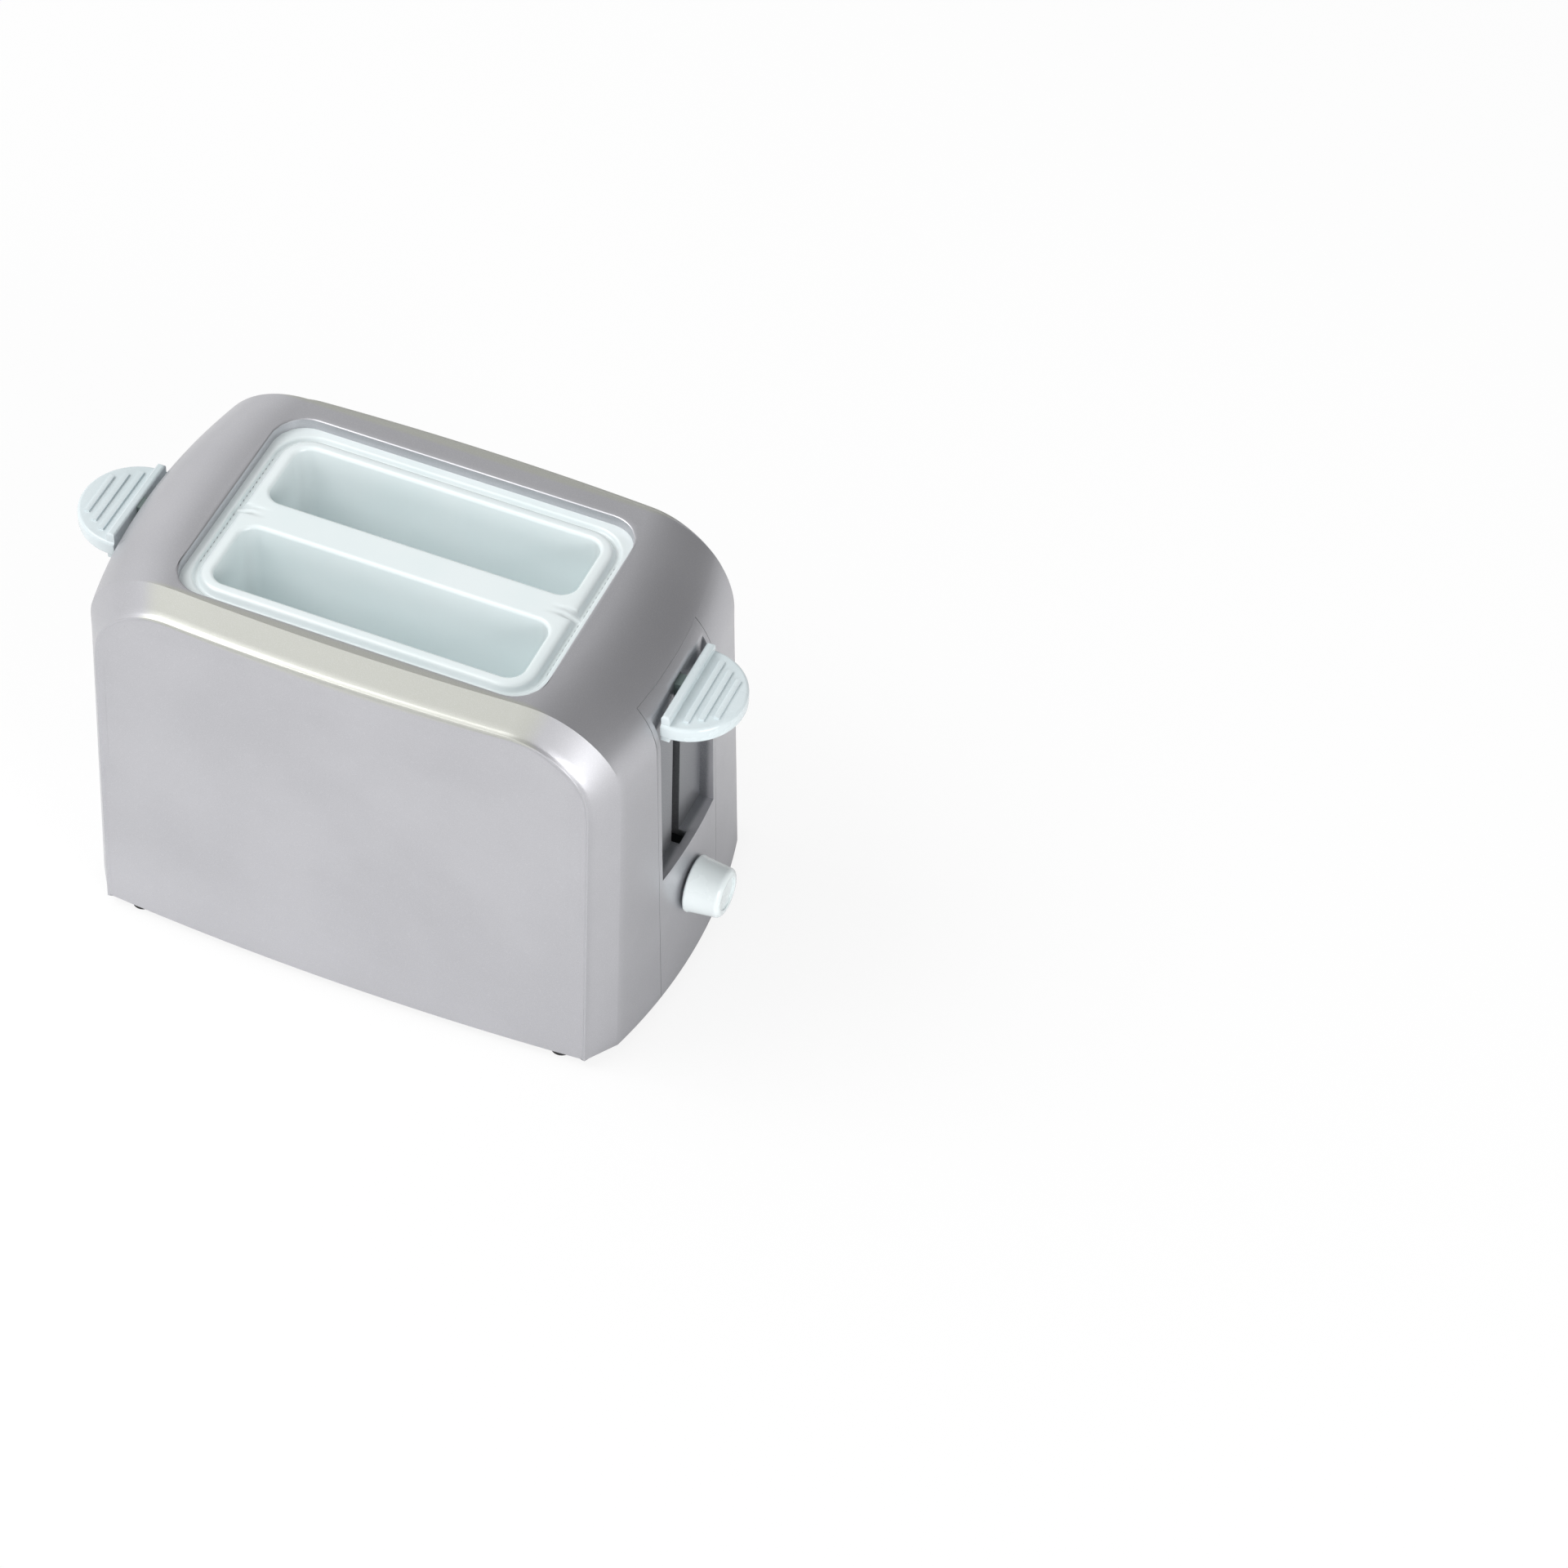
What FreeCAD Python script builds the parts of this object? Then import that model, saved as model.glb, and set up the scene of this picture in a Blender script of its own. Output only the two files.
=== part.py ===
import FreeCAD, Part
import os
import re

import Sketcher

# A toy pop-up toaster: a draft-angled shell with two bread slots, a spring-loaded carriage
# with a push tab at each end, and a turning timer knob that latches the carriage down.
# Origin at the bottom centre of the feet, X along the length with the knob at +X, the front
# face towards -Y, Z up. Millimetres and degrees.

SIZES = {
    # Outer body
    "total_height": 119.5,
    "foot_height": 3.0,
    "half_length": 80.6,
    "half_depth": 50.5,
    "end_radius": 157.0,
    "face_radius": 869.0,
    "end_draft": 2.5,
    "face_draft": 5.55,
    "shoulder_radius": 24.0,
    "edge_chamfer": 6.0,
    "wall": 2.4,
    "works_y": -2.4,
    # Clearances
    "fit_gap": 0.15,
    "running_gap": 0.05,
    "moving_gap": 0.3,
    "overcut": 1.0,
    # Opening in the top and the insert that fills it
    "opening_half_length": 50.9,
    "opening_half_depth": 34.2,
    "opening_radius": 9.0,
    "rim_drop": 2.1,
    "ledge_drop": 3.1,
    "island_half_length": 47.0,
    "island_half_depth": 30.0,
    "lip_overlap": 1.6,
    "lip_thickness": 2.4,
    "bread_slot_half_length": 43.2,
    "bread_slot_width": 21.3,
    "divider_width": 10.35,
    "bread_slot_radius": 4.5,
    "well_wall": 1.6,
    "well_bottom": 14.0,
    "leg_length": 6.0,
    "rod_boss_height": 6.7,
    "rod_boss_width": 10.0,
    # End panels with the lever recess
    "panel_half_width": 17.6,
    "panel_drop": 8.5,
    "panel_lip": 2.0,
    "panel_lip_overlap": 3.0,
    "recess_depth": 5.6,
    "recess_half_width": 15.8,
    "recess_bottom": 47.3,
    "tray_wall": 2.2,
    "lever_slot_width": 4.6,
    "lever_slot_drop": 12.5,
    "notch_depth": 2.3,
    # Base plate, feet and screws
    "base_thickness": 2.5,
    "foot_radius": 3.0,
    "foot_pin_radius": 1.5,
    "foot_end_inset": 19.1,
    "foot_face_inset": 6.7,
    "screw_end_inset": 16.6,
    "screw_face_inset": 16.5,
    "screw_radius": 1.3,
    "screw_length": 17.0,
    "screw_head_radius": 2.6,
    "screw_head_height": 1.3,
    "screw_boss_radius": 4.0,
    "screw_boss_height": 20.0,
    "rib_thickness": 1.6,
    # Guide rods and springs
    "rod_x": 54.0,
    "rod_radius": 1.5,
    "rod_socket_depth": 5.0,
    "rod_seat_radius": 4.0,
    "rod_seat_height": 3.5,
    "spring_radius": 3.0,
    "spring_wire": 0.45,
    "spring_turns": 7.0,
    # Carriage
    "lift_travel": 42.0,
    "shelf_top": 64.0,
    "shelf_thickness": 2.4,
    "shelf_width": 14.0,
    "shelf_half_length": 42.0,
    "tongue_width": 5.0,
    "yoke_inner": 46.3,
    "yoke_thickness": 3.0,
    "yoke_margin": 3.0,
    "yoke_side_margin": 1.5,
    "hub_height": 6.0,
    "hub_width": 10.0,
    "bushing_radius": 3.0,
    "arm_thickness": 2.6,
    "stem_width": 4.0,
    "stem_height": 4.0,
    "stem_drop": 13.0,
    "tongue_length": 5.0,
    "tongue_clearance": 0.7,
    "tab_skin": 0.8,
    "screw_head_sink": 1.0,
    # Push tabs
    "tab_setback": 1.5,
    "tab_radius": 15.05,
    "tab_drop": 14.9,
    "tab_thickness": 4.6,
    "tab_edge": 1.0,
    "grip_gap": 1.9,
    "grip_thickness": 2.3,
    "grip_half_width": 14.4,
    "grip_rise": 2.6,
    "grip_skirt": 1.3,
    "grip_edge": 0.8,
    "rib_pitch": 3.2,
    "rib_width": 1.4,
    "rib_height": 0.6,
    "rib_half_length": 11.5,
    "rib_shortening": 2.2,
    "tab_screw_radius": 0.8,
    "tab_screw_head": 1.8,
    "tab_screw_setback": 2.6,
    # Timer knob and latch
    "knob_height": 31.2,
    "knob_gap": 0.4,
    "knob_length": 10.0,
    "knob_radius": 7.9,
    "knob_tip_radius": 6.9,
    "knob_edge": 1.5,
    "knob_skirt": 1.4,
    "knob_cap_radius": 4.6,
    "knob_cap_thickness": 1.0,
    "knob_cap_recess": 0.5,
    "knob_screw_radius": 1.2,
    "knob_screw_head": 2.3,
    "knob_screw_length": 9.0,
    "knob_screw_depth": 3.0,
    "knob_wall": 1.5,
    "shaft_radius": 2.5,
    "latch_gap": 1.1,
    "knob_bushing_radius": 4.5,
    "knob_bushing_setback": 3.1,
    "knob_boss_radius": 6.8,
    "cam_radius": 12.0,
    "cam_hub_radius": 4.0,
    "cam_thickness": 3.0,
    "cam_sweep": 60.0,
    "cam_rest_angle": 182.0,
    "catch_drop": 0.6,
    "catch_inner": 6.0,
    "catch_width": 4.0,
    "catch_plate": 1.2,
    "catch_reach": 3.8,
    "catch_height": 4.0,
    "catch_screw_radius": 0.7,
    "catch_screw_head": 1.4,
    "catch_screw_rise": 0.4,
    "catch_screw_offset": 3.0,
}

# Places worked out from the driving sizes
PLACES = {
    "body_height": "(total_height - foot_height)",
    "rim_top": "(total_height - rim_drop)",
    "ledge_top": "(total_height - ledge_drop)",
    "roof_under": "(total_height - wall)",
    "lip_under": "(roof_under - lip_thickness)",
    "bread_slot_offset": "((bread_slot_width + divider_width) / 2)",
    "base_top": "(foot_height + base_thickness)",
    "rod_seat_top": "(base_top + rod_seat_height)",
    "shelf_under": "(shelf_top - shelf_thickness)",
    "hub_under": "(shelf_under - yoke_margin)",
    "yoke_outer": "(yoke_inner + yoke_thickness)",
    "arm_outer": "(rod_x + bushing_radius + arm_thickness)",
    "panel_top": "(total_height - panel_drop)",
    "recess_floor": "(half_length - recess_depth)",
    "lever_slot_top": "(total_height - lever_slot_drop)",
    "foot_x": "(half_length - foot_end_inset)",
    "foot_y": "(half_depth - foot_face_inset)",
    "screw_x": "(half_length - screw_end_inset)",
    "screw_y": "(half_depth - screw_face_inset)",
    "stem_top": "(total_height - stem_drop)",
    "stem_bottom": "(stem_top - stem_height)",
    "grip_inner": "(recess_floor + grip_gap)",
    "tab_centre": "(grip_inner + tab_setback)",
    "tab_top": "(total_height - tab_drop)",
    "grip_top": "(tab_top + grip_rise)",
    "grip_bottom": "(tab_top - tab_thickness - grip_skirt)",
    "tongue_top": "(tab_top - tab_skin)",
    "knob_base": "(half_length + knob_gap - end_draft * (knob_height - foot_height) / body_height)",
    "knob_face": "(knob_base + knob_length)",
    "screw_head_face": "(knob_face - knob_screw_depth)",
    "shaft_inner": "(arm_outer + catch_plate + latch_gap)",
    "knob_bushing_inner": "(shaft_inner + cam_thickness + knob_bushing_setback)",
    "catch_top": "(knob_height - catch_drop + lift_travel)",
}

doc = FreeCAD.newDocument("toy_toaster")
sheet = doc.addObject("Spreadsheet::Sheet", "Sizes")
NODES = []
Y_AXIS = FreeCAD.Vector(0, 1, 0)
Z_AXIS = FreeCAD.Vector(0, 0, 1)
UPRIGHT = FreeCAD.Rotation()
ALONG_X = FreeCAD.Rotation(Y_AXIS, 90)
WORD = re.compile(r"[a-z_]+")


def fill_sheet():
    for row, (name, value) in enumerate(SIZES.items(), start=1):
        sheet.set(f"A{row}", name)
        sheet.set(f"B{row}", str(value))
        sheet.setAlias(f"B{row}", name)
    doc.recompute()


def expand(text):
    """Writes an expression in terms of the sheet's cells only."""
    def swap(match):
        word = match.group(0)
        if word in PLACES:
            return expand(PLACES[word])
        return f"Sizes.{word}" if word in SIZES else word
    return WORD.sub(swap, str(text))


def size(name):
    return float(sheet.get(name))


def bind(thing, **sizes):
    for prop, text in sizes.items():
        thing.setExpression(prop, expand(text))


def place(thing, x, y, z, rotation=UPRIGHT):
    thing.Placement = FreeCAD.Placement(FreeCAD.Vector(), rotation)
    for axis, text in zip("xyz", (x, y, z)):
        thing.setExpression(f"Placement.Base.{axis}", expand(text))
    return thing


def node(thing, name):
    thing.Label = name
    NODES.append(thing)
    return thing


# Simple solids and the ways they are combined

def box(x, y, z):
    """A box between (low, high) places along each axis."""
    solid = doc.addObject("Part::Box", "box")
    bind(solid, Length=f"{x[1]} - ({x[0]})", Width=f"{y[1]} - ({y[0]})",
         Height=f"{z[1]} - ({z[0]})")
    return place(solid, x[0], y[0], z[0])


def post(x, y, z, radius):
    """An upright cylinder between two heights."""
    solid = doc.addObject("Part::Cylinder", "post")
    bind(solid, Radius=radius, Height=f"{z[1]} - ({z[0]})")
    return place(solid, x, y, z[0])


def bar(x, y, z, radius):
    """A cylinder along X between two places."""
    solid = doc.addObject("Part::Cylinder", "bar")
    bind(solid, Radius=radius, Height=f"{x[1]} - ({x[0]})")
    return place(solid, x[0], y, z, ALONG_X)


def fuse(*parts):
    joined = doc.addObject("Part::MultiFuse", "fuse")
    joined.Shapes = list(parts)
    joined.Refine = True
    return joined


def common(*parts):
    shared = doc.addObject("Part::MultiCommon", "common")
    shared.Shapes = list(parts)
    return shared


def cut(base, *tools):
    result = doc.addObject("Part::Cut", "cut")
    result.Base = base
    result.Tool = tools[0] if len(tools) == 1 else fuse(*tools)
    return result


def separate(*parts):
    """Several solids kept apart in one node."""
    group = doc.addObject("Part::Compound", "group")
    group.Links = list(parts)
    return group


def mirrored(source, normal=(1, 0, 0)):
    copy = doc.addObject("Part::Mirroring", "mirrored")
    copy.Source = source
    copy.Base = (0, 0, 0)
    copy.Normal = normal
    return copy


def edges_of(shape, wanted):
    """Names of the edges whose middle point passes the test."""
    names = []
    for number, edge in enumerate(shape.Edges, start=1):
        middle = edge.valueAt((edge.FirstParameter + edge.LastParameter) / 2)
        if wanted(middle, edge):
            names.append(f"Edge{number}")
    return names


# Sketches

def plane_of(body, role):
    return next(part for part in body.Origin.OriginFeatures if part.Role == role)


def new_sketch(body, role, lift="0"):
    sketch = body.newObject("Sketcher::SketchObject", "sketch")
    sketch.AttachmentSupport = [(plane_of(body, role), "")]
    sketch.MapMode = "FlatFace"
    sketch.setExpression("AttachmentOffset.Base.z", expand(lift))
    return sketch


def pin_point(sketch, line, end, across, up):
    """Holds one end of a line at a place bound to the sheet."""
    for kind, text in (("DistanceX", across), ("DistanceY", up)):
        point = sketch.getPoint(line, end)
        value = point.x if kind == "DistanceX" else point.y
        number = sketch.addConstraint(Sketcher.Constraint(kind, line, end, value))
        sketch.setExpression(f"Constraints[{number}]", expand(text))


def number_of(text):
    """The value of an expression, read back from a probe property."""
    probe = doc.getObject("probe") or doc.addObject("App::FeaturePython", "probe")
    if "reading" not in probe.PropertiesList:
        probe.addProperty("App::PropertyFloat", "reading")
    probe.setExpression("reading", expand(text))
    probe.recompute()
    return probe.reading


def polygon(body, role, points, lift="0"):
    """A closed outline of straight lines through the given places."""
    sketch = new_sketch(body, role, lift)
    spots = [FreeCAD.Vector(number_of(a), number_of(b), 0) for a, b in points]
    for start, end in zip(spots, spots[1:] + spots[:1]):
        sketch.addGeometry(Part.LineSegment(start, end), False)
    for line, (across, up) in enumerate(points):
        pin_point(sketch, line, 1, across, up)
        sketch.addConstraint(
            Sketcher.Constraint("Coincident", line, 2, (line + 1) % len(points), 1))
    return sketch


def turned(name, points, x, y, z, rotation=UPRIGHT):
    """A body of revolution: the outline is (radius, height) round its own upright axis."""
    body = doc.addObject("PartDesign::Body", name)
    sketch = polygon(body, "XZ_Plane", points)
    spin = body.newObject("PartDesign::Revolution", "spin")
    spin.Profile = sketch
    spin.ReferenceAxis = (sketch, ["V_Axis"])
    spin.Angle = 360
    return place(body, x, y, z, rotation)


# Outer form: four upright cones meet, their curved sides give the bowed faces and ends

def cone(body_name, radius, draft, inset):
    """One drafted side: its radius at the bottom and what it loses up to the top."""
    body = doc.addObject("PartDesign::Body", body_name)
    side = body.newObject("PartDesign::AdditiveCone", "side")
    top = f"(body_height - {inset})"
    bind(side, Radius1=radius, Radius2=f"{radius} - {draft} * {top} / body_height", Height=top)
    return body, side


def end_side(inset, sign):
    body, side = cone("end_side", "end_radius", "end_draft", inset)
    doc.recompute()
    rounding = body.newObject("PartDesign::Fillet", "shoulder")
    top = side.Shape.BoundBox.ZMax
    rounding.Base = (side, edges_of(
        side.Shape, lambda middle, edge: abs(middle.z - top) < 1e-6 and edge.Closed))
    bind(rounding, Radius=f"shoulder_radius - {inset}")
    return place(body, f"{sign} * (half_length - {inset} - end_radius)", "0", "foot_height")


def face_side(inset, sign):
    body, _ = cone("face_side", "face_radius", "face_draft", inset)
    return place(body, "0", f"{sign} * (half_depth - {inset} - face_radius)", "foot_height")


def block(inset="0"):
    """The outer form set in by a distance all over, chamfered along its front and back rims."""
    rough = common(end_side(inset, 1), end_side(inset, -1),
                   face_side(inset, 1), face_side(inset, -1))
    doc.recompute()
    shape = rough.Shape
    depth = number_of(f"half_depth - {inset} - face_draft - edge_chamfer")
    bottom = shape.BoundBox.ZMin + 1
    rims = edges_of(shape, lambda middle, edge: abs(middle.y) > depth and middle.z > bottom)
    size_there = number_of(f"edge_chamfer - {inset} * (2 - sqrt(2))")
    chamfer = doc.addObject("Part::Chamfer", "rim")
    chamfer.Base = rough
    chamfer.Edges = [(int(name[4:]), size_there, size_there) for name in rims]
    doc.recompute()
    return chamfer


def rounded_prism(name, half_length, half_depth, radius, low, high, y="works_y"):
    """An upright block with rounded corners."""
    body = doc.addObject("PartDesign::Body", name)
    corners = [(f"-({half_length})", f"-({half_depth})"), (half_length, f"-({half_depth})"),
               (half_length, half_depth), (f"-({half_length})", half_depth)]
    pad = body.newObject("PartDesign::Pad", "pad")
    pad.Profile = polygon(body, "XY_Plane", corners)
    bind(pad, Length=f"{high} - ({low})")
    doc.recompute()
    rounding = body.newObject("PartDesign::Fillet", "corners")
    rounding.Base = (pad, edges_of(
        pad.Shape, lambda middle, edge: edge.BoundBox.ZLength > 1e-3))
    bind(rounding, Radius=radius)
    return place(body, "0", y, low)


def works(offset):
    """Places either side of the plane in which the mechanism works."""
    return (f"works_y - ({offset})", f"works_y + {offset}")


# Housing

def housing_shell(outer, inner):
    opening = rounded_prism("opening", "opening_half_length", "opening_half_depth",
                            "opening_radius", "lip_under", "total_height + overcut")
    windows = [box(side, works("panel_half_width"), ("foot_height - overcut", "panel_top"))
               for side in (("half_length - shoulder_radius", "half_length + overcut"),
                            ("-half_length - overcut", "shoulder_radius - half_length"))]
    posts = []
    for sx in ("-", "+"):
        for sy in ("-", "+"):
            x, y = f"{sx}screw_x", f"{sy}screw_y"
            heights = ("base_top", "base_top + screw_boss_height")
            far = ("screw_y", "half_depth") if sy == "+" else ("-half_depth", "-screw_y")
            boss = fuse(post(x, y, heights, "screw_boss_radius"),
                        box((f"{x} - rib_thickness / 2", f"{x} + rib_thickness / 2"), far, heights))
            posts.append(cut(boss, post(x, y, heights, "screw_radius")))
    skin = cut(outer, inner)
    walls = fuse(skin, common(fuse(*posts), outer))
    return node(cut(walls, opening, *windows), "housing_shell")


def end_panel(outer, skin, lips, name, knob_side):
    strip = common(skin, box(("0", "half_length"), works("panel_half_width - fit_gap"),
                             ("foot_height", "panel_top - fit_gap")))
    lip_width = "panel_half_width + panel_lip_overlap"
    lip = common(lips, box(("0", "half_length"), works(lip_width),
                           ("recess_bottom", "panel_top - shoulder_radius")))
    tray = common(outer, box(("recess_floor - tray_wall", "half_length"),
                             works("panel_half_width - fit_gap"),
                             ("recess_bottom - tray_wall", "panel_top - fit_gap")))
    pieces = [strip, lip, tray]
    cuts = [box(("recess_floor", "half_length + overcut"), works("recess_half_width"),
                ("recess_bottom", "total_height")),
            box(("recess_floor - tray_wall - overcut", "recess_floor + overcut"),
                works("lever_slot_width / 2"), ("recess_bottom", "lever_slot_top")),
            box(("recess_floor - tray_wall - overcut", "recess_floor + notch_depth"),
                works("lever_slot_width / 2"),
                ("recess_bottom - tray_wall - overcut", "recess_bottom"))]
    if knob_side:
        pieces.append(common(outer, bar(("recess_floor - tray_wall", "half_length"),
                                        "works_y", "knob_height", "knob_boss_radius")))
        cuts.append(bar(("recess_floor - 2 * tray_wall", "half_length + overcut"),
                        "works_y", "knob_height", "knob_bushing_radius"))
        return node(cut(fuse(*pieces), *cuts), name)
    return node(mirrored(cut(fuse(*pieces), *cuts)), name)


def slot_insert(inner):
    lip = rounded_prism("lip", "opening_half_length + lip_overlap",
                        "opening_half_depth + lip_overlap", "opening_radius",
                        "lip_under", "roof_under")
    sunk = rounded_prism("sunk", "opening_half_length", "opening_half_depth",
                         "opening_radius", "ledge_top", "total_height")
    island = rounded_prism("island", "island_half_length", "island_half_depth",
                           "bread_slot_radius + island_half_length - bread_slot_half_length",
                           "lip_under", "rim_top")
    pieces, cuts = [cut(common(lip, inner), sunk), island], []
    for sign in ("-", "+"):
        y = f"works_y {sign} bread_slot_offset"
        pieces.append(rounded_prism(
            "well", "bread_slot_half_length + well_wall", "bread_slot_width / 2 + well_wall",
            "bread_slot_radius + well_wall", "well_bottom", "roof_under", y))
        cuts.append(rounded_prism(
            "bread_slot", "bread_slot_half_length", "bread_slot_width / 2",
            "bread_slot_radius", "base_top - overcut", "total_height", y))
        cuts.append(box(("-yoke_inner", "yoke_inner"),
                        (f"{y} - tongue_width / 2 - tongue_clearance",
                         f"{y} + tongue_width / 2 + tongue_clearance"),
                        ("base_top", "shelf_top + 2 * tongue_clearance")))
        outer_wall = f"works_y {sign} (bread_slot_offset + bread_slot_width / 2 + well_wall)"
        inner_wall = f"works_y {sign} (bread_slot_offset + bread_slot_width / 2)"
        span = (inner_wall, outer_wall) if sign == "+" else (outer_wall, inner_wall)
        for end in ("-", "+"):
            middle = f"{end}island_half_length * 0.75"
            pieces.append(box((f"{middle} - leg_length / 2", f"{middle} + leg_length / 2"),
                              span, ("base_top", "roof_under")))
    boss_z = ("lip_under - rod_boss_height", "lip_under")
    reach = "rod_x + rod_boss_width / 2"
    for side, x in ((("bread_slot_half_length + well_wall", reach), "rod_x"),
                    ((f"-({reach})", "-bread_slot_half_length - well_wall"), "-rod_x")):
        pieces.append(box(side, works("rod_boss_width / 2"), boss_z))
        cuts.append(post(x, "works_y", ("lip_under - overcut - rod_boss_height",
                                        "lip_under - rod_boss_height + rod_socket_depth"),
                         "rod_radius"))
    return node(cut(fuse(*pieces), *cuts), "slot_insert")


def base_plate(inside):
    plate = common(inside, box(("-half_length", "half_length"), ("-half_depth", "half_depth"),
                               ("foot_height", "base_top")))
    pieces, cuts = [plate], []
    for x in ("-rod_x", "rod_x"):
        pieces.append(post(x, "works_y", ("foot_height", "rod_seat_top"), "rod_seat_radius"))
        cuts.append(post(x, "works_y", ("rod_seat_top - rod_socket_depth",
                                        "rod_seat_top + overcut"), "rod_radius"))
    for x in ("-screw_x", "screw_x"):
        for y in ("-screw_y", "screw_y"):
            cuts.append(post(x, y, ("foot_height - overcut", "base_top + overcut"),
                             "screw_radius"))
            cuts.append(post(x, y, ("foot_height - overcut", "foot_height + screw_head_height"),
                             "screw_head_radius"))
    for x in ("-foot_x", "foot_x"):
        for y in ("-foot_y", "foot_y"):
            cuts.append(post(x, y, ("foot_height - overcut", "base_top + overcut"),
                             "foot_pin_radius"))
    return node(cut(fuse(*pieces), *cuts), "base_plate")


def feet():
    for y, row in (("-foot_y", "front"), ("foot_y", "back")):
        for x, side in (("-foot_x", "left"), ("foot_x", "right")):
            foot = fuse(post(x, y, ("0", "foot_height"), "foot_radius"),
                        post(x, y, ("0", "base_top"), "foot_pin_radius"))
            node(foot, f"foot_{row}_{side}")


def base_screws():
    screws = []
    for x in ("-screw_x", "screw_x"):
        for y in ("-screw_y", "screw_y"):
            head = post(x, y, ("foot_height", "foot_height + screw_head_height"),
                        "screw_head_radius")
            shank = post(x, y, ("foot_height", "foot_height + screw_length"), "screw_radius")
            screws.append(fuse(head, shank))
    return node(separate(*screws), "base_screws")


def guide_rod(sign, side):
    rod = post(f"{sign}rod_x", "works_y",
               ("rod_seat_top - rod_socket_depth",
                "lip_under - rod_boss_height + rod_socket_depth"), "rod_radius")
    node(rod, f"guide_rod_{side}")
    path = doc.addObject("Part::Helix", "coil")
    clear = "(hub_under - rod_seat_top - 2 * spring_wire)"
    bind(path, Pitch=f"{clear} / spring_turns", Height=clear, Radius="spring_radius")
    wire = doc.addObject("Part::Circle", "wire")
    bind(wire, Radius="spring_wire")
    place(wire, "spring_radius", "0", "0", FreeCAD.Rotation(FreeCAD.Vector(1, 0, 0), 90))
    doc.recompute()
    spring = doc.addObject("Part::Sweep", "spring")
    spring.Sections = [wire]
    spring.Spine = (path, ["Edge1"])
    spring.Solid = True
    spring.Frenet = True
    place(spring, f"{sign}rod_x", "works_y", "rod_seat_top + spring_wire")
    node(spring, f"lift_spring_{side}")


# Carriage that carries the bread, with a push tab at each end

def shelf(sign, row):
    y = f"works_y {sign} bread_slot_offset"
    heights = ("shelf_under", "shelf_top")
    plate = box(("-shelf_half_length", "shelf_half_length"),
                (f"{y} - shelf_width / 2", f"{y} + shelf_width / 2"), heights)
    tongue = box(("-yoke_outer", "yoke_outer"),
                 (f"{y} - tongue_width / 2", f"{y} + tongue_width / 2"), heights)
    return node(fuse(plate, tongue), f"bread_shelf_{row}")


def yoke():
    """The right-hand bracket: cross plate, two rod hubs, arm and the stem to the tab."""
    reach = "bread_slot_offset + tongue_width / 2 + yoke_side_margin"
    cross = box(("yoke_inner", "yoke_outer"), works(reach), ("hub_under", "shelf_top + yoke_margin"))
    lower = box(("yoke_outer", "arm_outer"), works("hub_width / 2"),
                ("hub_under", "hub_under + hub_height"))
    upper = box(("yoke_outer", "arm_outer"), works("hub_width / 2"),
                ("stem_top - hub_height", "stem_top"))
    arm = box(("rod_x + bushing_radius", "arm_outer"), works("hub_width / 2"),
              ("hub_under", "stem_top"))
    stem = box(("rod_x + bushing_radius", "grip_inner"), works("stem_width / 2"),
               ("stem_bottom", "stem_top"))
    tongue = box(("grip_inner - overcut", "grip_inner + tongue_length"),
                 works("stem_width / 2 - tongue_clearance"),
                 ("stem_bottom - tongue_clearance", "tongue_top"))
    bores = [post("rod_x", "works_y", ("hub_under - overcut", "stem_top + overcut"),
                  "bushing_radius")]
    for sign in ("-", "+"):
        y = f"works_y {sign} bread_slot_offset"
        bores.append(box(("yoke_inner - overcut", "yoke_outer + overcut"),
                         (f"{y} - tongue_width / 2", f"{y} + tongue_width / 2"),
                         ("shelf_under", "shelf_top")))
    bores.append(post("grip_inner + tab_screw_setback", "works_y",
                      ("tab_top - tab_thickness - overcut", "tongue_top"),
                      "tab_screw_radius"))
    return cut(fuse(cross, lower, upper, arm, stem, tongue), *bores)


def bushings():
    """Sliding sleeves in both hubs of the right-hand yoke."""
    sleeves = [cut(post("rod_x", "works_y", heights, "bushing_radius"),
                   post("rod_x", "works_y", heights, "rod_radius + running_gap"))
               for heights in (("hub_under", "hub_under + hub_height"),
                               ("stem_top - hub_height", "stem_top"))]
    return separate(*sleeves)


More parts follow.
